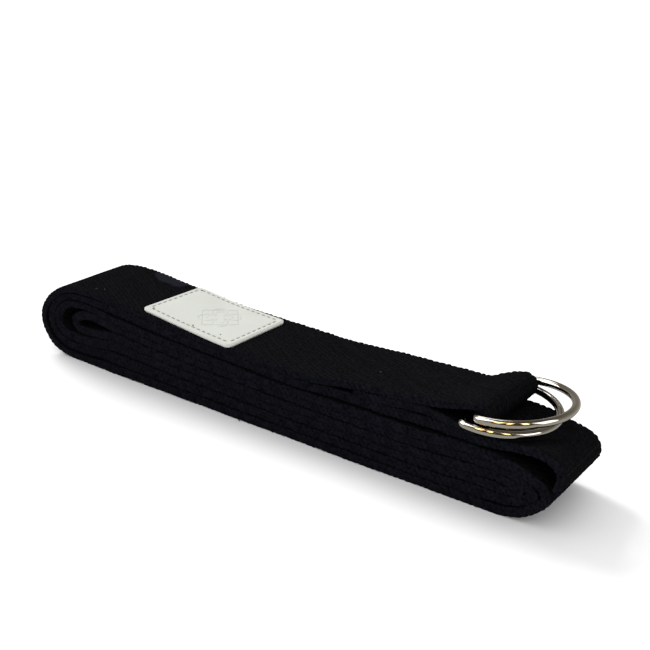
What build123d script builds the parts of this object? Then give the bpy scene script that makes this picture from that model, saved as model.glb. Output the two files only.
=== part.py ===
from build123d import *
import math
import os

# A cotton stretching strap, rolled flat into a bundle for storage, with a double
# D-ring buckle sewn into the end of its top layer.
# Millimetres. +X runs along the bundle to the buckle end, +Y across the strap, +Z up.
# The origin is on the resting surface, at the middle of the whole bundle.

# ---- webbing ---------------------------------------------------------------
strap_width = 38.0
strap_thickness = 3.0
layer_pitch = 3.9            # one layer to the next where the bundle is pressed flat
half_length = 135.7          # bundle centre to either end
end_slack = 6.3              # how much the upper layers rise towards the rolled end
slope_low_x = -8.0           # the upper layers start to rise here ...
slope_high_x = -76.0         # ... and are level again here
soft_bend = 20.0             # radius of the slight bends in the layers
right_middle_x = 118.5       # the turns at the buckle end are all round this place
left_end_x = {(6, 1): -130.2, (5, 2): -119.5, (4, 3): -106.4}   # inner turns at the rolled end
flap_bend = 9.0              # where the free end folds down over the bundle
flap_end_z = 14.3

# ---- D-rings ---------------------------------------------------------------
wire_diameter = 3.0
ring_half_width = 21.5       # bar centre to leg centreline
ring_corner = 2.5            # centreline radius between bar and leg
ring_leg = 1.4               # straight part of a leg, before the half-round bow
bar_clearance = 0.25         # between a bar and the webbing wrapped round it
lower_bar = (97.4, 0.3, 31.7)        # middle of each bar
upper_bar = (102.7, 0.4, 34.75)
# Degrees: turned about Z, bow raised above level, rolled about X.
lower_turn, lower_tilt, lower_roll = -1.8, -3.4, -1.0
upper_turn, upper_tilt, upper_roll = -1.0, 4.1, -1.6

# ---- buckle end of the strap -------------------------------------------------
tail_start_x = 50.0          # cut end of the tail folded back under the top layer
neck_x = 88.0                # where the sewing stops and the ring loop begins
neck_gap = 0.3               # splits the loop from the strap so that it can bend there
loop_mouth = 0.1             # parts the loop's two layers where they meet at the neck
climb_length = 18.0          # the top layer rises onto its tail over this length
neck_level = 2.7             # the loop leaves the neck level for this far ...
loop_shoulder = 2.8          # ... and is level again from here to over the upper bar
loop_bends = (4.0, 4.5, 3.4, 4.4)    # corner radii of the loop, from the neck round

# ---- label and sewing --------------------------------------------------------
label_length = 53.5
label_width = 36.0
label_thickness = 1.0
label_corner = 3.0
label_middle_x = -39.3
label_seam_inset = 2.6
thread_width = 0.6
thread_height = 0.3
label_stitch, label_stitch_pitch = 2.1, 3.2
strap_stitch, strap_stitch_pitch = 2.6, 3.6
tail_seam_inset = 4.0        # of the box seam, from the strap's edges and the tail's ends
cross_inset = 3.0            # of the cross, from the box seam
cross_gap = 0.1              # share of an arm left out where the two arms cross
free_end_rows = (3.0, 5.5)   # distances from the cut end
free_end_inset = 1.5


def layer_height(number):
    """Height of a layer's middle in the flat part of the bundle; 0 lies on the floor."""
    return strap_thickness / 2 + number * layer_pitch


def offset_route(route, radii, distance):
    """A route and its corner radii, moved sideways to the left by a distance."""
    points = [Vector(x, z) for x, z in route]
    directions = [(b - a).normalized() for a, b in zip(points, points[1:])]
    normals = [Vector(-d.Y, d.X) for d in directions]
    moved = [points[0] + normals[0] * distance]
    moved_radii = []
    for corner, before, after, radius in zip(points[1:-1], normals, normals[1:], radii):
        mitre = (before + after) * (distance / (1 + before.dot(after)))
        left_turn = before.cross(after).Z > 0
        moved.append(corner + mitre)
        moved_radii.append(radius - distance if left_turn else radius + distance)
    moved.append(points[-1] + normals[-1] * distance)
    return moved, moved_radii


def ribbon(route, radii):
    """A strap-wide solid of webbing along a route in the XZ plane."""
    sides = []
    for distance in (strap_thickness / 2, -strap_thickness / 2):
        points, side_radii = offset_route(route, radii, distance)
        if side_radii:
            sides.append(FilletPolyline(*points, radius=side_radii))
        else:
            sides.append(Polyline(*points))
    first, second = sides
    caps = [Line(first @ 0, second @ 0), Line(first @ 1, second @ 1)]
    outline = make_face([*first.edges(), *second.edges(), *caps])
    upright = Plane.XZ * outline
    return extrude(upright, amount=strap_width / 2, both=True)


def turn_radius(number_a, number_b, extra=0.0):
    """Centreline radius of a turn from one layer to another."""
    height = abs(layer_height(number_a) - layer_height(number_b)) + extra
    return 0.49 * height


def upper_layer(number):
    """The two slight bends of an upper layer, listed from the buckle end."""
    height = layer_height(number)
    return [(slope_low_x, height), (slope_high_x, height + end_slack)]


def left_turn(upper, lower):
    """The two corners of a turn at the rolled end, from an upper layer down."""
    end_x = left_end_x[upper, lower]
    return [(end_x, layer_height(upper) + end_slack), (end_x, layer_height(lower))]


def right_turn(upper, lower):
    """The two corners of a turn at the buckle end, from an upper layer down."""
    end_x = right_middle_x + (layer_height(upper) - layer_height(lower)) / 2
    return [(end_x, layer_height(upper)), (end_x, layer_height(lower))]


# Layers count up from the floor: 0 lies on it and 7 carries the label.
left_end_x[7, 0] = -half_length + strap_thickness / 2
flap_x = half_length - thread_height - strap_thickness / 2
left_radii = {pair: turn_radius(*pair, end_slack) for pair in left_end_x}
right_radii = {pair: turn_radius(*pair) for pair in ((5, 0), (4, 1), (3, 2))}

stops = [
    # free end, hanging over the end of the bundle, then layer 6
    ([(flap_x, flap_end_z)], []),
    ([(flap_x, layer_height(6))], [flap_bend]),
    (upper_layer(6), [soft_bend] * 2),
    (left_turn(6, 1), [left_radii[6, 1]] * 2),
    # layer 1 to layer 4
    (right_turn(4, 1)[::-1], [right_radii[4, 1]] * 2),
    (upper_layer(4), [soft_bend] * 2),
    (left_turn(4, 3), [left_radii[4, 3]] * 2),
    # layer 3 to layer 2, round the middle of the strap
    (right_turn(3, 2), [right_radii[3, 2]] * 2),
    # layer 2 to layer 5
    (left_turn(5, 2)[::-1], [left_radii[5, 2]] * 2),
    (upper_layer(5)[::-1], [soft_bend] * 2),
    # layer 0, on the floor, to layer 7 on top
    (right_turn(5, 0), [right_radii[5, 0]] * 2),
    (left_turn(7, 0)[::-1], [left_radii[7, 0]] * 2),
    (upper_layer(7)[::-1], [soft_bend] * 2),
]

# The top layer climbs onto its own tail, and both are sewn together up to the neck.
bar_reach = wire_diameter / 2 + bar_clearance + strap_thickness / 2


def edge_shift(degrees):
    """How far a bar's line has moved at the strap's edge, for its turn or roll."""
    return strap_width / 2 * abs(math.sin(math.radians(degrees)))


tail_height = lower_bar[2] - bar_reach - edge_shift(lower_roll)
doubled_height = tail_height + strap_thickness
climb = [
    (tail_start_x - climb_length, layer_height(7)),
    (tail_start_x - 1.0, doubled_height),
]
stops.append((climb, [soft_bend] * 2))
stops.append(([(neck_x, doubled_height)], []))

strap_route = [point for points, _ in stops for point in points]
strap_radii = [radius for _, radii in stops for radius in radii]


def make_webbing():
    """The whole strap up to the neck, with its sewn-down tail."""
    strap = ribbon(strap_route, strap_radii)
    tail = ribbon([(tail_start_x, tail_height), (neck_x, tail_height)], [])
    return strap + tail


def make_ring_loop():
    """The end of the strap, wrapped round both bars."""
    start_x = neck_x + neck_gap
    end_x = upper_bar[0] + bar_reach + edge_shift(upper_turn)
    top_z = upper_bar[2] + bar_reach + edge_shift(upper_roll)
    route = [
        (start_x, doubled_height),
        (start_x + neck_level, doubled_height),
        (upper_bar[0] - loop_shoulder, top_z),
        (end_x, top_z),
        (end_x, tail_height),
        (start_x, tail_height - loop_mouth),
    ]
    return ribbon(route, loop_bends)


def make_d_ring(bar, turn, tilt, roll):
    """A closed D of round wire: bar, two small corners, short legs and a half-round bow."""
    side = ring_half_width
    straight = side - ring_corner
    slant = ring_corner * (1 - math.sqrt(0.5))
    bow_x = ring_corner + ring_leg
    lines = [
        Line((0, -straight), (0, straight)),
        ThreePointArc((0, straight), (slant, side - slant), (ring_corner, side)),
        Line((ring_corner, side), (bow_x, side)),
        ThreePointArc((bow_x, side), (bow_x + side, 0), (bow_x, -side)),
        Line((bow_x, -side), (ring_corner, -side)),
        ThreePointArc((ring_corner, -side), (slant, slant - side), (0, -straight)),
    ]
    path = Wire([edge for line in lines for edge in line.edges()])
    section = Plane(origin=path @ 0, z_dir=path % 0) * Circle(wire_diameter / 2)
    ring = sweep(section, path=path)
    return Pos(*bar) * Rot(0, 0, turn) * Rot(0, -tilt, 0) * Rot(roll, 0, 0) * ring


def label_place():
    """The plane of the sloping top layer under the label, with X down the slope."""
    rise = end_slack / (slope_low_x - slope_high_x)
    slope = math.degrees(math.atan(rise))
    under_z = layer_height(7) + (slope_low_x - label_middle_x) * rise
    surface_z = under_z + strap_thickness / 2 / math.cos(math.radians(slope))
    return Pos(label_middle_x, 0, surface_z) * Rot(0, slope, 0)


def make_label():
    """The leatherette patch, lying flat on the top layer."""
    outline = RectangleRounded(label_length, label_width, label_corner)
    return label_place() * extrude(outline, amount=label_thickness)


def stitch_row(start, end, stitch, pitch):
    """Separate stitches along a straight row, standing on the XY plane."""
    run = Vector(*end) - Vector(*start)
    count = max(1, round(run.length / pitch))
    angle = math.degrees(math.atan2(run.Y, run.X))
    standing = (Align.CENTER, Align.CENTER, Align.MIN)
    row = []
    for number in range(count):
        middle = Vector(*start) + run * ((number + 0.5) / count)
        thread = Box(stitch, thread_width, thread_height, align=standing)
        row.append(Pos(middle.X, middle.Y, 0) * Rot(0, 0, angle) * thread)
    return row


def box_rows(half_x, half_y, stitch, pitch):
    """Stitches round a rectangle, stopping short of its corners."""
    gap = pitch / 4
    rows = []
    for sign in (-1, 1):
        rows += stitch_row((gap - half_x, sign * half_y), (half_x - gap, sign * half_y), stitch, pitch)
        rows += stitch_row((sign * half_x, gap - half_y), (sign * half_x, half_y - gap), stitch, pitch)
    return rows


def make_label_stitching():
    """The thread round the label's edge."""
    half_x = label_length / 2 - label_seam_inset
    half_y = label_width / 2 - label_seam_inset
    place = label_place() * Pos(0, 0, label_thickness)
    rows = box_rows(half_x, half_y, label_stitch, label_stitch_pitch)
    return Compound([place * thread for thread in rows])


def make_tail_stitching():
    """The box of stitches with a cross, through the top layer and the tail."""
    thread = (strap_stitch, strap_stitch_pitch)
    half_x = (neck_x - tail_start_x) / 2 - tail_seam_inset
    half_y = strap_width / 2 - tail_seam_inset
    rows = box_rows(half_x, half_y, *thread)
    inner_x, inner_y = half_x - cross_inset, half_y - cross_inset
    rows += stitch_row((-inner_x, -inner_y), (inner_x, inner_y), *thread)
    # The second arm is made in two halves, so that it leaves out the crossing.
    for sign in (-1, 1):
        near = (sign * cross_gap * inner_x, -sign * cross_gap * inner_y)
        far = (sign * inner_x, -sign * inner_y)
        rows += stitch_row(near, far, *thread)
    middle_x = (tail_start_x + neck_x) / 2
    place = Pos(middle_x, 0, doubled_height + strap_thickness / 2)
    return Compound([place * stitch for stitch in rows])


def make_free_end_stitching():
    """Two rows of stitches that stop the cut end from fraying."""
    half_y = strap_width / 2 - free_end_inset
    rows = []
    for height in free_end_rows:
        rows += stitch_row((height, -half_y), (height, half_y), strap_stitch, strap_stitch_pitch)
    outer_face = Plane(
        origin=(flap_x + strap_thickness / 2, 0, flap_end_z),
        x_dir=(0, 0, 1),
        z_dir=(1, 0, 0),
    )
    return Compound([outer_face.location * thread for thread in rows])


parts = {
    "webbing": make_webbing(),
    "ring_loop": make_ring_loop(),
    "lower_d_ring": make_d_ring(lower_bar, lower_turn, lower_tilt, lower_roll),
    "upper_d_ring": make_d_ring(upper_bar, upper_turn, upper_tilt, upper_roll),
    "label": make_label(),
    "label_stitching": make_label_stitching(),
    "tail_stitching": make_tail_stitching(),
    "free_end_stitching": make_free_end_stitching(),
}

os.makedirs("parts", exist_ok=True)
for name, solid in parts.items():
    export_step(solid, f"parts/{name}.step")

strap_length = parts["webbing"].volume / (strap_width * strap_thickness)
loop_length = parts["ring_loop"].volume / (strap_width * strap_thickness)
print(f"webbing length {strap_length + loop_length:.0f} mm")
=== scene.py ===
import math

import bpy
import numpy as np
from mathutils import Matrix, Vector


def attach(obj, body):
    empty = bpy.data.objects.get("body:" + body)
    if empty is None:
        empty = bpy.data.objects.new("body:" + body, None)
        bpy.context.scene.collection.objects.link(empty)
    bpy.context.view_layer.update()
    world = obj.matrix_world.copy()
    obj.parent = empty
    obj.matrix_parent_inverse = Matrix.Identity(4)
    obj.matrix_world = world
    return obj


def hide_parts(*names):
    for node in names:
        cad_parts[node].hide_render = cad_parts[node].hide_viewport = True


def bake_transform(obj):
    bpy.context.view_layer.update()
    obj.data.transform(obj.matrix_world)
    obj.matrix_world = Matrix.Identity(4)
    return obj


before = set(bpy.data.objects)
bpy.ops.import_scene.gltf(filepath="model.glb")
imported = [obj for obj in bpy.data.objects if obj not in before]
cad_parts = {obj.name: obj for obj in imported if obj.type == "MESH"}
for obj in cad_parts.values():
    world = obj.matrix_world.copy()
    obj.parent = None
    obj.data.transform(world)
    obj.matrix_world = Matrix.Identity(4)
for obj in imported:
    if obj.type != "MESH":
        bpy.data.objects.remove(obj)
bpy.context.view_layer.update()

# The row frame: +X along the bundle to the buckle end, +Y across the strap, +Z up. The
# set is in metres; the strap, label and sewing are in millimetres, and their meshes are
# scaled to metres when they are made.
MM = 0.001

# ---------------------------------------------------------------------------
# camera, floor and light
# ---------------------------------------------------------------------------
# Places, distances and sizes here are in metres, angles in degrees.
MIDDLE = (0.0, 0.0, 0.015)
RINGS = (0.113, 0.0, 0.036)
CAMERA_PLACE = (0.23746, -0.28556, 0.18585)
CAMERA_TILT, CAMERA_TURN = 68.33, 36.935
CAMERA_LENS = 53.17              # millimetres, on a sensor 36 mm wide
SUN_PLACE = (-0.95, 0.30, 0.72)
SUN_STRENGTH, SUN_SPREAD = 2.4, 24.0
SUN_COLOUR = (1.0, 1.0, 0.99)
WORLD_COLOUR = (1.0, 1.0, 1.005)
WORLD_STRENGTH = 1.08
FLOOR_SIDE = 24.0
FLOOR_PAINT = (0.87, 0.87, 0.87)
ROOM_RADIUS = 3.0
ROOM_LOW, ROOM_HIGH = (0.27, 0.25, 0.22), (0.09, 0.075, 0.055)
WHITE, WARM = (1.0, 1.0, 0.98), (1.0, 0.72, 0.30)
DARK, FLOOR_GLOW = (0.050, 0.040, 0.028), (0.40, 0.39, 0.35)
# Cards seen in the rings: azimuth, elevation and distance from the rings, width and
# height, colour, strength. Azimuth 0 is towards the buckle end, 90 towards the back.
CARDS = {
    "card_0": (-146, 40, 1.0, (0.80, 0.95), WHITE, 2.6),
    "card_1": (140, 50, 1.0, (0.40, 0.20), WHITE, 2.6),
    "card_2": (-1, 34, 1.0, (0.58, 0.90), WHITE, 2.3),
    "card_3": (-97, 45, 1.0, (0.17, 0.62), WARM, 3.6),
    "card_4": (-75, 45, 1.0, (0.13, 0.62), WARM, 3.6),
    "card_5": (-43, 45, 1.0, (0.16, 0.62), WARM, 4.2),
    "dark_card": (-68, 28, 1.3, (1.7, 1.4), DARK, 1.0),
}

scene = bpy.context.scene
scene.view_settings.view_transform = "Standard"


def link(name, data):
    made = bpy.data.objects.new(name, data)
    scene.collection.objects.link(made)
    return made


def make_camera():
    data = bpy.data.cameras.new("camera")
    data.sensor_width = 36.0
    data.lens = CAMERA_LENS
    camera = link("camera", data)
    camera.location = CAMERA_PLACE
    camera.rotation_euler = (math.radians(CAMERA_TILT), 0.0, math.radians(CAMERA_TURN))
    scene.camera = camera


def aim(thing, target):
    direction = Vector(target) - thing.location
    thing.rotation_euler = direction.to_track_quat("-Z", "Y").to_euler()


def make_sun():
    """The key light, which the rings don't show."""
    data = bpy.data.lights.new("key", "SUN")
    data.energy = SUN_STRENGTH
    data.angle = math.radians(SUN_SPREAD)
    data.color = SUN_COLOUR
    lamp = link("key", data)
    lamp.visible_glossy = False
    lamp.location = SUN_PLACE
    aim(lamp, MIDDLE)


def new_material(name):
    made = bpy.data.materials.new(name)
    made.use_nodes = True
    tree = made.node_tree
    return made, tree.nodes, tree.links, tree.nodes["Principled BSDF"]


def plane(name, size):
    """A rectangle on the set, which isn't part of the object."""
    x, y = size[0] / 2, size[1] / 2
    data = bpy.data.meshes.new(name)
    data.from_pydata([(-x, -y, 0), (x, -y, 0), (x, y, 0), (-x, y, 0)], [], [(0, 1, 2, 3)])
    made = link(name, data)
    return made


def make_floor():
    floor = plane("floor", (FLOOR_SIDE, FLOOR_SIDE))
    paint, _, _, shader = new_material("floor_paper")
    shader.inputs["Base Color"].default_value = (*FLOOR_PAINT, 1)
    shader.inputs["Roughness"].default_value = 0.8
    shader.inputs["Specular IOR Level"].default_value = 0.1
    floor.data.materials.append(paint)


def make_world():
    world = bpy.data.worlds.new("studio")
    world.use_nodes = True
    scene.world = world
    background = world.node_tree.nodes["Background"]
    background.inputs["Color"].default_value = (*WORLD_COLOUR, 1)
    background.inputs["Strength"].default_value = WORLD_STRENGTH


def glowing(thing):
    """Give the thing a material that only glows, and return its nodes."""
    paint = bpy.data.materials.new(thing.name)
    paint.use_nodes = True
    nodes, links = paint.node_tree.nodes, paint.node_tree.links
    nodes.clear()
    glow = nodes.new("ShaderNodeEmission")
    output = nodes.new("ShaderNodeOutputMaterial")
    links.new(glow.outputs[0], output.inputs["Surface"])
    thing.data.materials.append(paint)
    return nodes, links, glow


def only_in_reflections(thing):
    """Only glossy surfaces see the thing, and it casts no shadow."""
    thing.visible_camera = False
    thing.visible_diffuse = False
    thing.visible_shadow = False
    thing.visible_transmission = False


def card(name, place, target, size, colour, strength):
    """A studio card that only shows in glossy reflections, such as those on the rings."""
    made = plane(name, size)
    made.location = place
    aim(made, target)
    _, _, glow = glowing(made)
    glow.inputs["Color"].default_value = (*colour, 1)
    glow.inputs["Strength"].default_value = strength
    only_in_reflections(made)


def from_rings(azimuth, elevation, distance):
    """A point in this direction and at this distance from the rings."""
    azimuth, elevation = math.radians(azimuth), math.radians(elevation)
    flat = distance * math.cos(elevation)
    reach = (flat * math.cos(azimuth), flat * math.sin(azimuth), distance * math.sin(elevation))
    return tuple(start + step for start, step in zip(RINGS, reach))


def make_room():
    """A dim room around the set, seen only in the rings and darker towards the top."""
    bpy.ops.mesh.primitive_uv_sphere_add(segments=48, ring_count=24, radius=ROOM_RADIUS)
    room = bpy.context.object
    room.name = "room"
    nodes, links, glow = glowing(room)
    place = nodes.new("ShaderNodeTexCoord")
    split = nodes.new("ShaderNodeSeparateXYZ")
    links.new(place.outputs["Generated"], split.inputs[0])
    shade = nodes.new("ShaderNodeValToRGB")
    low, high = shade.color_ramp.elements
    low.position, low.color = 0.55, (*ROOM_LOW, 1)
    high.position, high.color = 0.92, (*ROOM_HIGH, 1)
    links.new(split.outputs["Z"], shade.inputs["Fac"])
    links.new(shade.outputs["Color"], glow.inputs["Color"])
    only_in_reflections(room)


make_camera()
make_floor()
make_world()
make_room()
make_sun()
for name, (azimuth, elevation, distance, size, colour, strength) in CARDS.items():
    card(name, from_rings(azimuth, elevation, distance), RINGS, size, colour, strength)
# The rings see a dimmer floor than the camera does.
card("floor_card", (0, 0, 0.0004), (0, 0, -1), (5.0, 5.0), FLOOR_GLOW, 1.0)

# ---------------------------------------------------------------------------
# the strap's route through the bundle
# ---------------------------------------------------------------------------
STRAP_WIDTH = 38.0
HALF_WIDTH = STRAP_WIDTH / 2
THICKNESS = 3.0
LOOP_THICKNESS = 2.4
MOST_THICKNESS = 6.0

# Nominal height of each layer's middle at the front edge, at these stations along the
# bundle. Layer 0 lies on the floor. Row 7 only says how high layer 6 may swell: the top
# layer over it is drawn with its own points, TOP_LAYER.
STATIONS = (-84, -70, -40, -10, 20, 50, 80, 104)
LAYER_FRONT = {
    7: (35.1, 34.4, 31.8, 29.9, 28.9, 32.0, 34.5, 36.0),
    6: (30.4, 29.3, 27.5, 26.0, 24.6, 25.6, 25.6, 26.0),
    5: (27.2, 25.9, 23.7, 22.1, 21.1, 20.8, 20.6, 21.6),
    4: (23.0, 22.0, 19.8, 18.4, 17.6, 17.1, 16.9, 18.0),
    3: (18.5, 17.4, 15.9, 14.7, 14.0, 13.5, 13.2, 14.5),
    2: (13.6, 12.9, 11.8, 10.9, 10.3, 9.8, 9.5, 10.7),
    1: (7.8, 7.4, 6.9, 6.3, 5.9, 5.7, 5.6, 6.2),
    0: (1.7, 1.7, 1.7, 1.7, 1.7, 1.7, 1.7, 1.7),
}
HIGHEST_SWOLLEN = 6
# How much higher layer 6 is at the back edge than at the front; lower layers in proportion.
BACK_RISE = (1.0, 0.4, 0.0, 0.6, 0.8, -0.3, -0.8, -1.6)
TURN_RISE_HEIGHT = 30.0      # the height at which a turn has its whole rise
# Each layer's sideways shift.
LAYER_SHIFT = {6: 0.7, 5: -0.4, 4: 0.2, 3: -0.2, 2: 0.2, 1: -0.4, 0: -0.8}

# A route point is x and z at the front edge, x and z at the back edge, the sideways
# shift, and the thickness of the webbing.
FRONT_X, FRONT_Z, BACK_X, BACK_Z, SHIFT, THICK = range(6)


def layer_points(layer, towards_buckle, last=len(STATIONS)):
    """Route points of a layer, which swells until it meets its neighbours."""
    points = []
    for station in range(last):
        x, z, rise = STATIONS[station], LAYER_FRONT[layer][station], BACK_RISE[station]
        above = LAYER_FRONT[layer + 1][station]
        low = (LAYER_FRONT[layer - 1][station] + z) / 2 if layer else 0.0
        high = (z + above) / 2 if layer < HIGHEST_SWOLLEN else above - THICKNESS / 2
        thickness = min(high - low, MOST_THICKNESS)
        z = high - thickness / 2
        back_z = z + rise * layer / HIGHEST_SWOLLEN
        points.append((x, z, x, back_z, LAYER_SHIFT[layer], thickness))
    return points if towards_buckle else points[::-1]


def turn_points(points, shift, rise):
    """Route points of a turn, from points of x, z and thickness. The rise, from front to
    back, is in proportion to the height."""
    return [
        (x, z, x, z + rise * z / TURN_RISE_HEIGHT, shift, thickness)
        for x, z, thickness in points
    ]


def even(thickness, points):
    """Points of x and z, with the same thickness added to each."""
    return [(x, z, thickness) for x, z in points]


# From the cut end, which hangs over the buckle end of the bundle: whole route points.
FREE_END = [
    (132.9, 15.8, 131.7, 13.4, 0.3, 3.1),
    (134.0, 20.0, 132.1, 16.2, 0.3, 3.1),
    (133.4, 23.8, 130.7, 18.8, 0.4, 3.1),
    (130.0, 26.7, 127.9, 20.8, 0.5, 3.1),
    (124.3, 27.8, 123.6, 21.7, 0.6, 3.1),
    (116.0, 27.1, 116.0, 23.7, 0.7, 3.4),
    (104.0, 25.7, 105.0, 24.9, 0.8, 3.8),
    (84.0, 26.3, 84.0, 23.9, 0.9, 4.4),
    (62.0, 25.7, 62.0, 24.0, 0.9, 4.5),
    (44.0, 25.7, 44.0, 25.2, 0.9, 4.4),
]
FREE_END += layer_points(HIGHEST_SWOLLEN, False, last=5)

# Turns at the rolled end, on the left, and at the buckle end, on the right, seen from the
# front: x, z and thickness at the middle line of the webbing.
SECOND_LEFT = [
    (-95, 32.0, 3.8),
    (-108, 32.1, 3.4),
    (-117.0, 30.6, 3.4),
    (-124.4, 26.3, 3.8),
    (-128.6, 20.6, 4.4),
    (-129.3, 15.0, 4.6),
    (-127.0, 10.9, 4.6),
    (-120.0, 7.1, 4.6),
    (-107, 6.2, 5.0),
    (-95, 7.0, 5.4),
]
THIRD_LEFT = [
    (-95, 28.4, 3.4),
    (-107, 28.7, 3.3),
    (-115.5, 27.4, 3.6),
    (-120.9, 23.4, 4.6),
    (-123.4, 18.0, 5.6),
    (-120.8, 13.6, 5.2),
    (-109, 11.3, 5.0),
    (-95, 12.3, 5.2),
]
FOURTH_LEFT = [
    (-93, 24.3, 4.4),
    (-101, 24.7, 4.4),
    (-107.5, 23.2, 4.5),
    (-110.9, 20.1, 4.8),
    (-109.4, 17.2, 4.8),
    (-104, 16.5, 4.4),
    (-96, 17.1, 4.2),
    (-90, 17.8, 4.5),
]
# The outermost turns have an even thickness: x and z.
OUTER_LEFT = [
    (-107, 1.7),
    (-118.5, 2.2),
    (-128.7, 5.5),
    (-134.0, 12.1),
    (-134.5, 18.3),
    (-130.6, 25.0),
    (-124.0, 30.7),
    (-115.5, 34.8),
]
FIRST_RIGHT = [
    (111, 14.4, 3.7),
    (115.6, 13.7, 3.5),
    (119.6, 12.0, 4.8),
    (115.6, 10.3, 3.4),
    (111, 10.3, 3.9),
]
SECOND_RIGHT = [
    (112, 18.0, 3.8),
    (118.5, 16.6, 3.8),
    (122.8, 14.3, 4.0),
    (124.6, 11.5, 5.0),
    (121.8, 8.7, 4.0),
    (117, 6.9, 3.8),
    (111, 6.2, 4.2),
]
OUTER_RIGHT = [
    (112, 21.5),
    (118.5, 20.3),
    (124, 18.2),
    (128.6, 15.4),
    (129.8, 12.2),
    (127.0, 8.6),
    (122.2, 4.7),
    (114.5, 2.1),
]

# The middle of the strap, through layers 1, 4, 3, 2, 5 and 0.
MIDDLE_RUN = turn_points(SECOND_LEFT, 0.5, 1.0)
MIDDLE_RUN += layer_points(1, True)
MIDDLE_RUN += turn_points(SECOND_RIGHT[::-1], 0.1, -1.6)
MIDDLE_RUN += layer_points(4, False)
MIDDLE_RUN += turn_points(FOURTH_LEFT, 0.1, 1.0)
MIDDLE_RUN += layer_points(3, True)
MIDDLE_RUN += turn_points(FIRST_RIGHT, 0.1, -1.4)
MIDDLE_RUN += layer_points(2, False)
MIDDLE_RUN += turn_points(THIRD_LEFT[::-1], 0.0, 1.0)
MIDDLE_RUN += layer_points(5, True)
MIDDLE_RUN += turn_points(even(3.8, OUTER_RIGHT), -0.6, -1.8)
MIDDLE_RUN += layer_points(0, False)

# The top layer, from the rolled end to the buckle: x, z at the front, z at the back.
TOP_LAYER = [
    (-104, 35.9, 37.2),
    (-91, 35.5, 36.9),
    (-75, 34.7, 35.1),
    (-60, 33.6, 33.8),
    (-40, 31.8, 31.8),
    (-20, 30.4, 30.9),
    (0, 29.5, 30.4),
    (20, 28.9, 29.8),
    (34, 29.5, 29.9),
    (44, 31.1, 30.4),
    (55, 32.6, 30.7),
    (68, 33.3, 30.9),
    (80, 34.5, 31.2),
    (88, 35.5, 31.4),
]
# Round both bars and back: x and z at the front, x and z at the back.
LOOP = [
    (95.0, 36.9, 95.0, 34.8),
    (99.8, 37.9, 99.6, 36.5),
    (103.5, 37.7, 103.7, 36.9),
    (105.4, 35.9, 105.8, 35.2),
    (105.6, 33.2, 105.8, 32.6),
    (104.4, 30.7, 104.4, 30.2),
    (101.8, 29.2, 101.8, 28.7),
    (97.4, 28.8, 97.4, 28.2),
]
# The tail, sewn on under the top layer: x, z at the front, z at the back, thickness.
TAIL = [
    (90, 30.0, 28.1, 3.0),
    (80, 31.1, 27.9, 3.6),
    (70, 30.3, 27.7, 3.5),
    (60, 29.5, 27.5, 3.2),
    (50, 29.1, 27.3, 3.0),
]

TOP_RUN = turn_points(even(3.4, OUTER_LEFT), -0.2, 0.7)
TOP_RUN += [(x, front, x, back, 0.0, THICKNESS) for x, front, back in TOP_LAYER]
TOP_RUN += [(*point, 0.1, LOOP_THICKNESS) for point in LOOP]
TOP_RUN += [(x, front, x, back, 0.3, thickness) for x, front, back, thickness in TAIL]

ROUTE = FREE_END + MIDDLE_RUN + TOP_RUN


def smooth_line(points, steps=40):
    """A smooth line through the points, with tangents weighed by the spans beside them."""
    points = np.array(points, float)
    middle_x = (points[:, FRONT_X] + points[:, BACK_X]) / 2
    middle_z = (points[:, FRONT_Z] + points[:, BACK_Z]) / 2
    spans = np.hypot(np.diff(middle_x), np.diff(middle_z))[:, None]
    slopes = np.diff(points, axis=0) / spans
    tangents = np.empty_like(points)
    tangents[0], tangents[-1] = slopes[0], slopes[-1]
    before, after = spans[:-1], spans[1:]
    tangents[1:-1] = (before * slopes[1:] + after * slopes[:-1]) / (before + after)
    t = np.linspace(0, 1, steps, endpoint=False)[None, :, None]
    square, cube = t * t, t * t * t    # products round alike in every run, powers may not
    start, end = points[:-1, None], points[1:, None]
    leave, arrive = tangents[:-1, None] * spans[:, None], tangents[1:, None] * spans[:, None]
    line = (
        (2 * cube - 3 * square + 1) * start
        + (cube - 2 * square + t) * leave
        + (3 * square - 2 * cube) * end
        + (cube - square) * arrive
    )
    return np.vstack([line.reshape(-1, points.shape[1]), points[-1:]])


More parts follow.
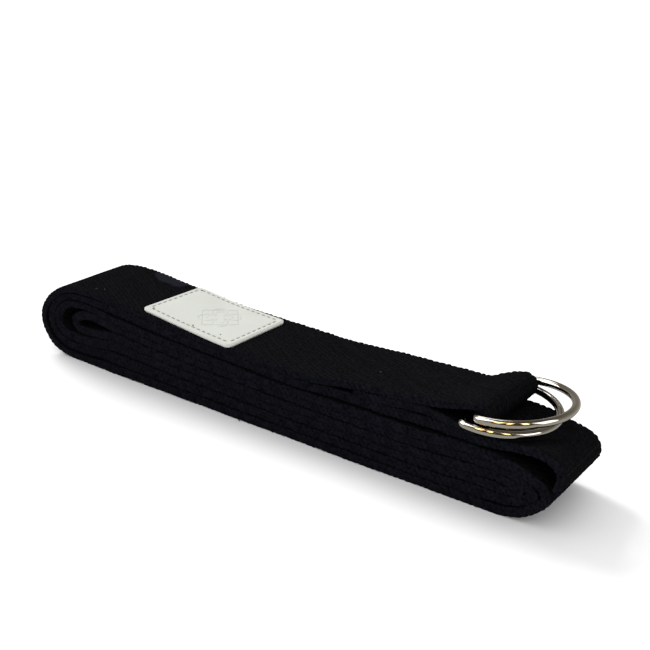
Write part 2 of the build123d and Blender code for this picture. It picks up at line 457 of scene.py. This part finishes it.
class Ribbon:
    """The strap's middle surface: where a point at (s along, w across, h out) lies."""

    REACH = 0.35             # a tangent is taken this far to each side of its point

    def __init__(self, route):
        self.line = smooth_line(route)
        self.middle_x = (self.line[:, FRONT_X] + self.line[:, BACK_X]) / 2
        middle_z = (self.line[:, FRONT_Z] + self.line[:, BACK_Z]) / 2
        steps = np.hypot(np.diff(self.middle_x), np.diff(middle_z))
        self.s = np.concatenate([[0], np.cumsum(steps)])
        self.length = self.s[-1]

    def column(self, s, number):
        return np.interp(s, self.s, self.line[:, number])

    def along(self, x, near):
        """Arc length where the middle line passes x, closest to the arc length near."""
        crossings = np.nonzero(np.diff(np.sign(self.middle_x - x)))[0]
        return min((self.s[i] for i in crossings), key=lambda s: abs(s - near))

    def edges(self, s):
        """Front and back points of the middle surface."""
        shift = self.column(s, SHIFT)
        front_x, front_z = self.column(s, FRONT_X), self.column(s, FRONT_Z)
        back_x, back_z = self.column(s, BACK_X), self.column(s, BACK_Z)
        front = np.stack([front_x, shift - HALF_WIDTH, front_z], -1)
        back = np.stack([back_x, shift + HALF_WIDTH, back_z], -1)
        return front, back

    def thickness(self, s):
        return self.column(s, THICK)

    def at(self, s, w, h):
        """Points in millimetres; s, w and h are arrays that fit each other."""
        s, w, h = np.broadcast_arrays(s, w, h)
        front, back = self.edges(s)
        share = ((w / HALF_WIDTH + 1) / 2)[..., None]
        place = front * (1 - share) + back * share
        front_a, back_a = self.edges(s - self.REACH)
        front_b, back_b = self.edges(s + self.REACH)
        tangent = (front_b - front_a) * (1 - share) + (back_b - back_a) * share
        normal = np.cross(tangent, back - front)
        normal /= np.linalg.norm(normal, axis=-1, keepdims=True)
        return place + normal * h[..., None]


ribbon = Ribbon(ROUTE)

# The strap is divided into pieces at these x, on the run nearest to the arc length given.
FREE_SPLIT = ribbon.along(24, 110)
TOP_SPLIT = ribbon.along(-10, ribbon.length - 420)

# ---------------------------------------------------------------------------
# the woven surface
# ---------------------------------------------------------------------------
TWILL_PITCH = 1.7            # across the ridges
TWILL_ANGLE = math.radians(27)
TWILL_RELIEF = 0.23
YARN_PITCH = 1.7             # along a ridge
LUMP_PITCH = 2.6             # weft turns along the edges
LUMP_RELIEF = 0.75           # of the back edge
FRONT_LUMPS = 0.5            # the front edge's relief as a share of the back edge's
SELVEDGE_RELIEF = 0.35
GRAIN_RELIEF = 0.25          # fine yarns on an edge
EDGE_DRIFT = 0.30            # how far an edge wanders in and out
EDGE_POINTS = 13             # points round an edge, the faces' last ones among them
EDGE_ROUNDNESS = 0.4         # 1 would make an edge round, 0 square
EDGE_SHARE = 0.55            # an edge's depth as a share of half the thickness
SELVEDGE = 2.2               # width of the plainer band beside an edge
FLOOR_CLEARANCE = 0.02
# A small lighter patch of ragged outline on the top layer's back edge.
LIGHTER_PATCH_AT = ribbon.along(-82, ribbon.length - 300)
LIGHTER_PATCH_HALF_LENGTH, LIGHTER_PATCH_DEPTH = 11.0, 8.0
LIGHTER_PATCH_STRENGTH = 0.75


def smoothstep(a, b, x):
    t = np.clip((x - a) / (b - a), 0, 1)
    return t * t * (3 - 2 * t)


def ridge(phase):
    """A rounded ridge with a narrow groove, 0 to 1, for a phase in turns."""
    return np.sqrt(np.abs(np.sin(math.pi * phase)) + 1e-6)


def waver(s, scale, seed):
    """A slow, seeded wave along the strap, about -1 to 1."""
    knots = np.random.default_rng(seed).uniform(-1, 1, int(ribbon.length / scale) + 4)
    place = np.clip(s / scale + 1, 0, len(knots) - 2.001)
    low = place.astype(int)
    t = place - low
    t = t * t * (3 - 2 * t)
    return knots[low] * (1 - t) + knots[low + 1] * t


def lump_height(s, seed):
    """Relief of the weft turns along an edge: rounded lumps of uneven size."""
    phase = (s + 0.5 * waver(s, 7.0, seed)) / LUMP_PITCH + 1
    count = int(ribbon.length / LUMP_PITCH) + 6
    sizes = np.random.default_rng(seed + 1).uniform(0.5, 1.0, count)
    number = np.clip(np.floor(phase).astype(int), 0, count - 1)
    return np.abs(np.sin(math.pi * phase)) ** 0.8 * sizes[number]


def twill_height(s, w, side):
    """Relief of the twill on a face; side is 1 or -1."""
    across = (w * math.cos(TWILL_ANGLE) + side * s * math.sin(TWILL_ANGLE)) / TWILL_PITCH
    across = across + 0.10 * waver(s, 6.0, 31) + 0.08 * np.sin(w * 1.3 + s * 0.21)
    along = (s * math.cos(TWILL_ANGLE) - side * w * math.sin(TWILL_ANGLE)) / YARN_PITCH
    row = np.floor(across)
    uneven = 0.87 + 0.13 * np.sin(2.4 * row + 1.7 * row**2)
    beads = 0.65 + 0.35 * np.abs(np.sin(math.pi * (along + 0.5 * row)))
    return ridge(across) * beads * uneven


def edge_grain(s, h):
    """Relief of the fine yarns on an edge, 0 to 1."""
    slanted = np.abs(np.sin(math.pi * (s / 1.9 + h / 2.6)))
    return slanted * np.abs(np.cos(math.pi * (h / 1.3 - s / 9)))


def section(columns_a, columns_b):
    """The strap's section, going round once: columns_a points on the face where h is 1, an
    edge, columns_b on the other face, and the other edge. A point is its place between
    the edges' centres, -1 to 1, and its outward direction (w, h)."""
    angles = np.linspace(math.pi / 2, -math.pi / 2, EDGE_POINTS)[1:-1]
    out_w = np.cos(angles) ** EDGE_ROUNDNESS
    out_h = np.sign(angles) * np.abs(np.sin(angles)) ** EDGE_ROUNDNESS
    rows = [(w, 0.0, 1.0) for w in np.linspace(-1, 1, columns_a)]
    rows += [(1.0, w, h) for w, h in zip(out_w, out_h)]
    rows += [(w, 0.0, -1.0) for w in np.linspace(1, -1, columns_b)]
    rows += [(-1.0, -w, h) for w, h in zip(out_w[::-1], out_h[::-1])]
    return np.array(rows)


def build_mesh(name, points, faces, material, attributes=None):
    """A smooth-shaded object from points in millimetres, with any vector attributes."""
    data = bpy.data.meshes.new(name)
    data.from_pydata((np.asarray(points) * MM).tolist(), [], faces)
    data.materials.append(material)
    data.polygons.foreach_set("use_smooth", [True] * len(data.polygons))
    for key, values in (attributes or {}).items():
        layer = data.attributes.new(key, "FLOAT_VECTOR", "POINT")
        layer.data.foreach_set("vector", np.asarray(values, np.float32).ravel())
    data.update()
    return link(name, data)


def ring_faces(rows, columns, start=0):
    """Quads between rows of a closed section, and a cap at each end."""
    row, column = np.meshgrid(np.arange(rows - 1), np.arange(columns), indexing="ij")
    here, there = row * columns, (row + 1) * columns
    following = (column + 1) % columns
    corners = [here + column, here + following, there + following, there + column]
    faces = (np.stack(corners, -1).reshape(-1, 4) + start).tolist()
    first = list(range(start, start + columns))[::-1]
    last = list(range(start + (rows - 1) * columns, start + rows * columns))
    return faces + [first, last]


def lighter_patch(s, w):
    """How much of the lighter patch colour the cloth takes at a place on it, 0 to 1."""
    along = np.abs((s - LIGHTER_PATCH_AT) / LIGHTER_PATCH_HALF_LENGTH)
    across = np.abs(w - HALF_WIDTH) / LIGHTER_PATCH_DEPTH
    from_middle = along**3 + across**2 + 0.25 * waver(s, 2.5, 77)
    return LIGHTER_PATCH_STRENGTH * (1 - smoothstep(0.75, 1.0, from_middle))


def make_webbing(name, start, end, step, columns_a, columns_b):
    """A stretch of the strap from arc length start to end."""
    rows = int(round((end - start) / step)) + 1
    s = np.linspace(start, end, rows)[:, None]
    half = ribbon.thickness(s) / 2
    across, out_w, out_h = (part[None, :] for part in section(columns_a, columns_b).T)
    rounding = half * EDGE_SHARE
    w = across * (HALF_WIDTH - rounding) + out_w * rounding
    h = out_h * half
    edge = np.abs(out_w) ** 0.8
    near_edge = smoothstep(HALF_WIDTH - SELVEDGE, HALF_WIDTH - SELVEDGE / 2, np.abs(w))

    twill = np.where(out_h >= 0, twill_height(s, w, 1.0), twill_height(s, w, -1.0))
    slanted = s + 0.7 * h
    lumps = np.where(w < 0, lump_height(slanted, 101), lump_height(slanted, 211))
    grain = edge_grain(s, h)
    face_part = TWILL_RELIEF * (twill - 0.75) * (1 - near_edge)
    selvedge_part = near_edge * SELVEDGE_RELIEF * (lumps - 0.75)
    lump_relief = np.where(w < 0, FRONT_LUMPS * LUMP_RELIEF, LUMP_RELIEF)
    edge_part = lump_relief * (lumps - 0.5) + GRAIN_RELIEF * (grain - 0.4)
    relief = (1 - edge) * (face_part + selvedge_part) + edge * edge_part
    drift = EDGE_DRIFT * edge * np.where(w < 0, waver(s, 14.0, 5), waver(s, 14.0, 6))
    # The edges fill out sideways, and only a little in height.
    w = w + out_w * (relief + drift)
    h = h + out_h * (1 - 0.7 * edge) * relief
    points = ribbon.at(s, w, h)
    points[..., 2] = np.maximum(points[..., 2], FLOOR_CLEARANCE)

    # The yarns' height, which the cotton's colour turns into painted light on the ridges and painted
    # shade in the grooves.
    height = np.where(edge > 0.3, 0.5 * (lumps + grain), twill)
    s, w, h, edge, height = np.broadcast_arrays(s, w, h, edge, height)
    # cloth_look carries the yarn height, for painted light on the ridges and painted shade in the
    # grooves, the edge mask, which picks the edges' painted cool fill light, and the lighter patch.
    attributes = {
        "cloth_place": np.stack([s, w, h], -1),
        "cloth_look": np.stack([height, edge, lighter_patch(s, w) * (h > 0)], -1),
    }
    faces = ring_faces(rows, w.shape[1])
    return build_mesh(name, points.reshape(-1, 3), faces, cotton, attributes)


# ---------------------------------------------------------------------------
# materials
# ---------------------------------------------------------------------------
def attribute(nodes, name):
    node = nodes.new("ShaderNodeAttribute")
    node.attribute_name = name
    return node


def noise(nodes, scale, detail, roughness=0.5):
    node = nodes.new("ShaderNodeTexNoise")
    node.inputs["Scale"].default_value = scale
    node.inputs["Detail"].default_value = detail
    node.inputs["Roughness"].default_value = roughness
    return node


def weighed(nodes, links, value, weight, added=None):
    """value * weight + added, where value and added are sockets."""
    node = nodes.new("ShaderNodeMath")
    node.operation = "MULTIPLY_ADD"
    node.inputs[1].default_value = weight
    node.inputs[2].default_value = 0.0
    links.new(value, node.inputs[0])
    if added is not None:
        links.new(added, node.inputs[2])
    return node.outputs[0]


def ramp(nodes, links, value, stops):
    """The colour of a value between two stops, each a position and a colour."""
    node = nodes.new("ShaderNodeValToRGB")
    for element, (position, colour) in zip(node.color_ramp.elements, stops):
        element.position = position
        element.color = (*colour, 1)
    links.new(value, node.inputs["Fac"])
    return node.outputs["Color"]


# The numbers of a Mix node's colour sockets.
MIX_FIRST, MIX_SECOND, MIX_RESULT = 6, 7, 2


def mixed(nodes, links, factor, first):
    """A colour mix node, with its factor and first colour linked to sockets."""
    node = nodes.new("ShaderNodeMix")
    node.data_type = "RGBA"
    links.new(factor, node.inputs["Factor"])
    links.new(first, node.inputs[MIX_FIRST])
    return node


def bump(nodes, links, height, distance, strength, shader):
    """Bump from a height; the distance is in metres."""
    node = nodes.new("ShaderNodeBump")
    node.inputs["Strength"].default_value = strength
    node.inputs["Distance"].default_value = distance
    links.new(height, node.inputs["Height"])
    links.new(node.outputs["Normal"], shader.inputs["Normal"])


# A colour ramp's stops, each a position and a colour.
# The face ramp runs from painted shade in the grooves to painted light on the ridges.
COTTON_FACE = ((0.52, (0.0014, 0.0014, 0.0017)), (1.0, (0.0067, 0.0067, 0.0075)))
# A lighter, bluer copy of the cotton for the edges: painted cool fill light.
COTTON_EDGE_COOL_FILL = ((0.52, (0.0019, 0.0020, 0.0028)), (0.98, (0.0080, 0.0083, 0.0115)))
COTTON_LIGHTER_PATCH = (0.0135, 0.014, 0.019)
LEATHERETTE = ((0.2, (0.475, 0.49, 0.447)), (0.75, (0.532, 0.547, 0.504)))
NICKEL = (0.68, 0.65, 0.60)


def make_cotton():
    """Near-black cotton: painted light on the raised yarns and painted shade in the grooves, uneven
    from fibres and broad patches, a lighter, bluer copy on the edges for painted cool fill light, and
    lighter in a patch the mesh marks."""
    made, nodes, links, shader = new_material("black_cotton")
    look = attribute(nodes, "cloth_look")
    place = attribute(nodes, "cloth_place")
    split = nodes.new("ShaderNodeSeparateXYZ")
    links.new(look.outputs["Vector"], split.inputs[0])
    fibres = noise(nodes, 0.8, 3.0, 0.75)
    patches = noise(nodes, 0.07, 2.0)
    for texture in (fibres, patches):
        links.new(place.outputs["Vector"], texture.inputs["Vector"])
    # The yarn height lightens the colour: painted light on the ridges and painted shade in the
    # grooves; the noise adds the cloth's own uneven tone.
    mix = weighed(nodes, links, split.outputs["X"], 0.36)
    mix = weighed(nodes, links, fibres.outputs["Fac"], 1.1, mix)
    mix = weighed(nodes, links, patches.outputs["Fac"], 0.08, mix)
    face = ramp(nodes, links, mix, COTTON_FACE)
    # The edges take the lighter, bluer copy: painted cool fill light, picked by the edge mask.
    edge = ramp(nodes, links, mix, COTTON_EDGE_COOL_FILL)
    tone_with_painted_light = mixed(nodes, links, split.outputs["Y"], face)
    links.new(edge, tone_with_painted_light.inputs[MIX_SECOND])
    # A lighter colour where the mesh marks the patch.
    lightened = mixed(nodes, links, split.outputs["Z"], tone_with_painted_light.outputs[MIX_RESULT])
    lightened.inputs[MIX_SECOND].default_value = (*COTTON_LIGHTER_PATCH, 1)
    links.new(lightened.outputs[MIX_RESULT], shader.inputs["Base Color"])
    shader.inputs["Roughness"].default_value = 1.0
    shader.inputs["Specular IOR Level"].default_value = 0.0
    bump(nodes, links, fibres.outputs["Fac"], 0.0003, 0.6, shader)
    return made


def make_metal():
    """Polished nickel with fine scratches."""
    made, nodes, links, shader = new_material("polished_nickel")
    shader.inputs["Base Color"].default_value = (*NICKEL, 1)
    shader.inputs["Metallic"].default_value = 1.0
    scratches = noise(nodes, 900.0, 3.0)
    place = nodes.new("ShaderNodeTexCoord")
    links.new(place.outputs["Object"], scratches.inputs["Vector"])
    spread = nodes.new("ShaderNodeMapRange")
    spread.inputs["To Min"].default_value = 0.04
    spread.inputs["To Max"].default_value = 0.14
    links.new(scratches.outputs["Fac"], spread.inputs["Value"])
    links.new(spread.outputs["Result"], shader.inputs["Roughness"])
    return made


def make_leatherette():
    """Off-white leatherette with a pebbled grain."""
    made, nodes, links, shader = new_material("pale_leatherette")
    place = nodes.new("ShaderNodeTexCoord")
    grain = nodes.new("ShaderNodeTexVoronoi")
    grain.inputs["Scale"].default_value = 1500.0
    patches = noise(nodes, 60.0, 3.0)
    for texture in (grain, patches):
        links.new(place.outputs["Object"], texture.inputs["Vector"])
    mix = weighed(nodes, links, patches.outputs["Fac"], 0.7)
    mix = weighed(nodes, links, grain.outputs["Distance"], 0.3, mix)
    colour = ramp(nodes, links, mix, LEATHERETTE)
    links.new(colour, shader.inputs["Base Color"])
    shader.inputs["Roughness"].default_value = 0.55
    shader.inputs["Specular IOR Level"].default_value = 0.3
    bump(nodes, links, grain.outputs["Distance"], 0.00008, 0.35, shader)
    return made


def make_thread(name, dark, light):
    """Twisted thread, between two colours."""
    made, nodes, links, shader = new_material(name)
    place = nodes.new("ShaderNodeTexCoord")
    twist = nodes.new("ShaderNodeTexWave")
    twist.inputs["Scale"].default_value = 900.0
    twist.inputs["Distortion"].default_value = 2.0
    links.new(place.outputs["Object"], twist.inputs["Vector"])
    colour = ramp(nodes, links, twist.outputs["Fac"], ((0.0, dark), (1.0, light)))
    links.new(colour, shader.inputs["Base Color"])
    shader.inputs["Roughness"].default_value = 0.8
    shader.inputs["Specular IOR Level"].default_value = 0.05
    bump(nodes, links, twist.outputs["Fac"], 0.0001, 0.5, shader)
    return made


cotton = make_cotton()
leatherette = make_leatherette()
label_thread = make_thread("grey_thread", (0.22, 0.225, 0.205), (0.33, 0.34, 0.31))
lint = make_thread("lint", (0.04, 0.038, 0.032), (0.07, 0.067, 0.06))
strap_thread = make_thread("black_thread", (0.0035, 0.0035, 0.0040), (0.0095, 0.0095, 0.0105))
metal = make_metal()
for name in ("lower_d_ring", "upper_d_ring"):
    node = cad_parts[name]
    node.data.materials.clear()
    node.data.materials.append(metal)

# ---------------------------------------------------------------------------
# the strap, in three stretches
# ---------------------------------------------------------------------------
# Columns of points on a face that shows the twill, and on one that is hidden. The rows of
# points lie about half a millimetre apart.
SHOWN, HIDDEN = 104, 30

free_end = make_webbing("webbing_free_end", 0.0, FREE_SPLIT, 0.42, HIDDEN, SHOWN)
inner = make_webbing("webbing_inner", FREE_SPLIT, TOP_SPLIT, 0.50, HIDDEN, HIDDEN)
top = make_webbing("webbing_top", TOP_SPLIT, ribbon.length, 0.40, SHOWN, HIDDEN)
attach(free_end, "strap")
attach(inner, "strap")
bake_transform(top)
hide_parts("webbing", "ring_loop")
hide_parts("webbing")
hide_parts("webbing")

# ---------------------------------------------------------------------------
# the label
# ---------------------------------------------------------------------------
LABEL_LENGTH = 54.0
LABEL_WIDTH = 35.6
LABEL_SHIFT = -0.7           # off the middle of the strap, to the front
LABEL_TURN = math.radians(-2.5)
LABEL_THICKNESS = 1.3
LABEL_CORNER = 3.0
LABEL_UNDERSIDE = -0.12      # sunk into the strap's face
LABEL_PUFF, LABEL_PUFF_REACH = 0.16, 8.0
LABEL_ROUNDING, LABEL_ROUNDING_REACH = 0.45, 0.9
LABEL_SEAM = 2.6             # seam to label edge
LABEL_SEAM_DEPTH, LABEL_SEAM_WIDTH = 0.20, 0.55
EMBLEM_DEPTH = 0.30
EMBLEM_SHIFT = 4.5           # towards the buckle
PETAL = 9.4
LABEL_MIDDLE = ribbon.along(-37.7, ribbon.length - 260)


def on_label(x, y, height):
    """Points at x along and y across the label, height above the strap's face."""
    s = x * math.cos(LABEL_TURN) - y * math.sin(LABEL_TURN)
    w = x * math.sin(LABEL_TURN) + y * math.cos(LABEL_TURN) + LABEL_SHIFT
    face = ribbon.thickness(LABEL_MIDDLE) / 2
    return ribbon.at(LABEL_MIDDLE + s, w, face + height)


def label_inset(x, y):
    """Distance inside the label's rounded outline."""
    past_x = np.abs(x) - (LABEL_LENGTH / 2 - LABEL_CORNER)
    past_y = np.abs(y) - (LABEL_WIDTH / 2 - LABEL_CORNER)
    outside = np.hypot(np.maximum(past_x, 0), np.maximum(past_y, 0))
    return LABEL_CORNER - outside - np.minimum(np.maximum(past_x, past_y), 0)


def line_press(distance, width):
    """How deeply a pressed line marks the label, 0 to 1, at a distance from it."""
    return np.exp(-((distance / width) ** 2))


def label_emblem(x, y):
    """A plain four-petal outline in a small diamond, pressed into the label."""
    x = x - EMBLEM_SHIFT
    radius = np.hypot(x, y)
    lobes = np.sqrt(np.abs(np.sin(2 * np.arctan2(y, x))))
    press = line_press(radius - PETAL * lobes, 0.42) * (radius > 1.2)
    press = np.maximum(press, 0.7 * line_press(radius - 0.62 * PETAL * lobes, 0.3) * (radius > 1.6))
    return np.maximum(press, line_press(np.abs(x) + np.abs(y) - 1.17 * PETAL, 0.35))


def make_label():
    """A puffed patch with rounded corners, a pressed seam and a pressed emblem."""
    corner_turn = np.sin(np.linspace(0, math.pi / 2, 14))
    straight = LABEL_LENGTH / 2 - LABEL_CORNER
    end = straight + LABEL_CORNER * corner_turn[1:]
    x = np.concatenate([-end[::-1], np.linspace(-straight, straight, 200), end])[:, None]
    past = np.maximum(np.abs(x) - straight, 0)
    half_y = LABEL_WIDTH / 2 - LABEL_CORNER + np.sqrt(np.maximum(LABEL_CORNER**2 - past**2, 0))
    # The rows lie closer together towards the front and back edges.
    closing = math.pi / 2 * 0.75
    across = np.sin(np.linspace(-1, 1, 150) * closing) / math.sin(closing)
    y = half_y * across[None, :]
    x = np.broadcast_to(x, y.shape)
    inset = label_inset(x, y)
    puff = LABEL_PUFF * smoothstep(LABEL_SEAM, LABEL_PUFF_REACH, inset)
    rounding = LABEL_ROUNDING * (1 - smoothstep(0, LABEL_ROUNDING_REACH, inset))
    seam = LABEL_SEAM_DEPTH * line_press(inset - LABEL_SEAM, LABEL_SEAM_WIDTH)
    top_z = LABEL_THICKNESS + puff - rounding - seam - EMBLEM_DEPTH * label_emblem(x, y)
    upper = on_label(x, y, top_z).reshape(-1, 3)
    lower = on_label(x, y, np.full_like(top_z, LABEL_UNDERSIDE)).reshape(-1, 3)
    rows, columns = y.shape
    row, column = np.meshgrid(np.arange(rows - 1), np.arange(columns - 1), indexing="ij")
    here = row * columns + column
    quads = np.stack([here, here + columns, here + columns + 1, here + 1], -1).reshape(-1, 4)
    size = rows * columns
    rim = list(range(columns))
    rim += [n * columns + columns - 1 for n in range(1, rows)]
    rim += [size - 1 - n for n in range(1, columns)]
    rim += [n * columns for n in range(rows - 2, 0, -1)]
    sides = [(a, b, b + size, a + size) for a, b in zip(rim, rim[1:] + rim[:1])]
    faces = quads.tolist() + (quads[:, ::-1] + size).tolist() + sides
    label = build_mesh("label_patch", np.vstack([upper, lower]), faces, leatherette)
    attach(label, "strap")
    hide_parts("label")


make_label()

# ---------------------------------------------------------------------------
# sewing
# ---------------------------------------------------------------------------
# A stitch's length and the distance to the next one, in the label and in the strap.
LABEL_THREAD = (2.1, 3.2)
STRAP_THREAD = (2.6, 3.6)
# How far a thread's middle rises over its ends, and its radius.
LABEL_THREAD_SIZE = (0.22, 0.24)
TACK_SIZE = (0.3, 0.26)
STRAP_THREAD_SIZE = (0.2, 0.2)
LINT_SIZE = (0.25, 0.16)
THREAD_DIVE = 0.28           # how deep a stitch's ends lie in the cloth
TAIL_BOX = (15.0, HALF_WIDTH - 4.0)    # half sizes of the sewn box on the tail
TAIL_CROSS_GAP = 3.0         # from the box to the cross inside it
FREE_END_ROWS = (3.0, 5.5)   # from the cut end
# Thread's ends on the label: along it and across it, from its middle.
LABEL_TACKS = ((-22.5, -14.6), (2.0, -14.2), (16.9, -12.5), (-23.0, 14.8))
# Specks of lint on the top layer: x along the bundle, place across the strap, length.
LINT = ((53.6, -5.0, 1.2), (-98.4, -14.6, 1.3), (-95.2, -12.4, 1.1))
LINT_TURN = math.radians(70)           # each speck lies turned from the one before
# The loose thread's end: x and y of both its ends, and its height.
LOOSE_THREAD = ((-10.0, -18.9), (-6.2, -20.9))
LOOSE_THREAD_HEIGHT = 0.75


def stitch_row(start, end, stitch, pitch):
    """Start and end points of separate stitches along a straight row."""
    start, end = np.array(start, float), np.array(end, float)
    run = end - start
    length = np.linalg.norm(run)
    count = max(1, round(length / pitch))
    half = run / length * stitch / 2
    middles = [start + run * (n + 0.5) / count for n in range(count)]
    return [(middle - half, middle + half) for middle in middles]


def box_rows(half_x, half_y, stitch, pitch):
    """Stitches round a rectangle, stopping short of its corners."""
    gap = pitch / 4
    rows = []
    for sign in (-1, 1):
        rows += stitch_row((gap - half_x, sign * half_y), (half_x - gap, sign * half_y), stitch, pitch)
        rows += stitch_row((sign * half_x, gap - half_y), (sign * half_x, half_y - gap), stitch, pitch)
    return rows


def make_stitches(name, rows, place, material, rise, radius):
    """Curved threads that dive into the cloth at both ends; place(x, y, height) puts
    their points where they belong."""
    steps, sides = 9, 8
    t = np.linspace(0, 1, steps)
    arch = np.sin(math.pi * t) ** 0.7
    turn = np.linspace(0, 2 * math.pi, sides, endpoint=False)
    points, faces = [], []
    for start, end in rows:
        direction = (end - start) / np.linalg.norm(end - start)
        line = start + (end - start) * t[:, None]
        girth = radius * (0.75 + 0.25 * arch)[:, None]
        x = line[:, :1] - direction[1] * girth * np.cos(turn)
        y = line[:, 1:] + direction[0] * girth * np.cos(turn)
        height = (arch * rise)[:, None] - THREAD_DIVE + girth * np.sin(turn)
        faces += ring_faces(steps, sides, len(points) * steps * sides)
        points.append(place(x, y, height).reshape(-1, 3))
    return build_mesh(name, np.vstack(points), faces, material)


def make_label_stitching():
    """The thread round the label's edge, in its pressed seam."""
    half_x, half_y = LABEL_LENGTH / 2 - LABEL_SEAM, LABEL_WIDTH / 2 - LABEL_SEAM
    rows = box_rows(half_x, half_y, *LABEL_THREAD)

    def place(x, y, height):
        return on_label(x, y, height + LABEL_THICKNESS - 0.02)

    made = make_stitches("label_stitching_thread", rows, place, label_thread, *LABEL_THREAD_SIZE)
    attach(made, "strap")
    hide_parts("label_stitching")


def make_label_tacks():
    """Short black ends of thread that show through the label's seam."""
    rows = []
    for x, y in LABEL_TACKS:
        rows += stitch_row((x - 0.4, y - 0.1), (x + 0.4, y + 0.1), 0.8, 1.0)

    def place(x, y, height):
        return on_label(x, y, height + LABEL_THICKNESS + 0.05)

    made = make_stitches("label_tack_thread", rows, place, strap_thread, *TACK_SIZE)
    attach(made, "strap")
    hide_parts("label_stitching")


def make_tail_stitching():
    """A sewn box with a cross in it, which holds the tail to the top layer."""
    inner_x, inner_y = (half - TAIL_CROSS_GAP for half in TAIL_BOX)
    rows = box_rows(*TAIL_BOX, *STRAP_THREAD)
    rows += stitch_row((-inner_x, -inner_y), (inner_x, inner_y), *STRAP_THREAD)
    # The other diagonal is in two halves, so that no stitch crosses another.
    for sign in (-1, 1):
        start = (0.1 * sign * inner_x, -0.1 * sign * inner_y)
        rows += stitch_row(start, (sign * inner_x, -sign * inner_y), *STRAP_THREAD)
    middle = ribbon.along(69, ribbon.length - 110)
    face = ribbon.thickness(middle) / 2

    def place(x, y, height):
        return ribbon.at(middle + x, y, height + face + 0.1)

    made = make_stitches("tail_stitching_thread", rows, place, strap_thread, *STRAP_THREAD_SIZE)
    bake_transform(made)
    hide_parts("tail_stitching")


def make_free_end_stitching():
    """Two rows across the strap that stop its cut end from fraying."""
    half_y = HALF_WIDTH - 1.5
    rows = []
    for inset in FREE_END_ROWS:
        rows += stitch_row((inset, -half_y), (inset, half_y), *STRAP_THREAD)
    face = ribbon.thickness(0.0) / 2

    def place(x, y, height):
        return ribbon.at(x, y, -height - face - 0.1)

    made = make_stitches("free_end_stitching_thread", rows, place, strap_thread, *STRAP_THREAD_SIZE)
    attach(made, "strap")
    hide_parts("free_end_stitching")


def make_lint():
    """A few pale fibres caught on the top layer."""
    rows = []
    for number, (x, w, length) in enumerate(LINT):
        direction = LINT_TURN * number
        reach = (length / 2 * math.cos(direction), length / 2 * math.sin(direction))
        middle = ribbon.along(x, ribbon.length - 260), w
        rows.append((np.subtract(middle, reach), np.add(middle, reach)))

    def place(x, y, height):
        return ribbon.at(x, y, height + THICKNESS / 2 + 0.2)

    made = make_stitches("lint", rows, place, lint, *LINT_SIZE)
    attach(made, "strap")
    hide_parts("webbing")


def make_loose_thread():
    """A thread's end that lies along the bottom edge of the front side."""
    rows = [tuple(np.array(end) for end in LOOSE_THREAD)]

    def place(x, y, height):
        return np.stack([x, y, height + LOOSE_THREAD_HEIGHT], -1)

    made = make_stitches("loose_thread", rows, place, strap_thread, *STRAP_THREAD_SIZE)
    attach(made, "strap")
    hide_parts("webbing")


make_label_stitching()
make_label_tacks()
make_lint()
make_loose_thread()
make_tail_stitching()
make_free_end_stitching()
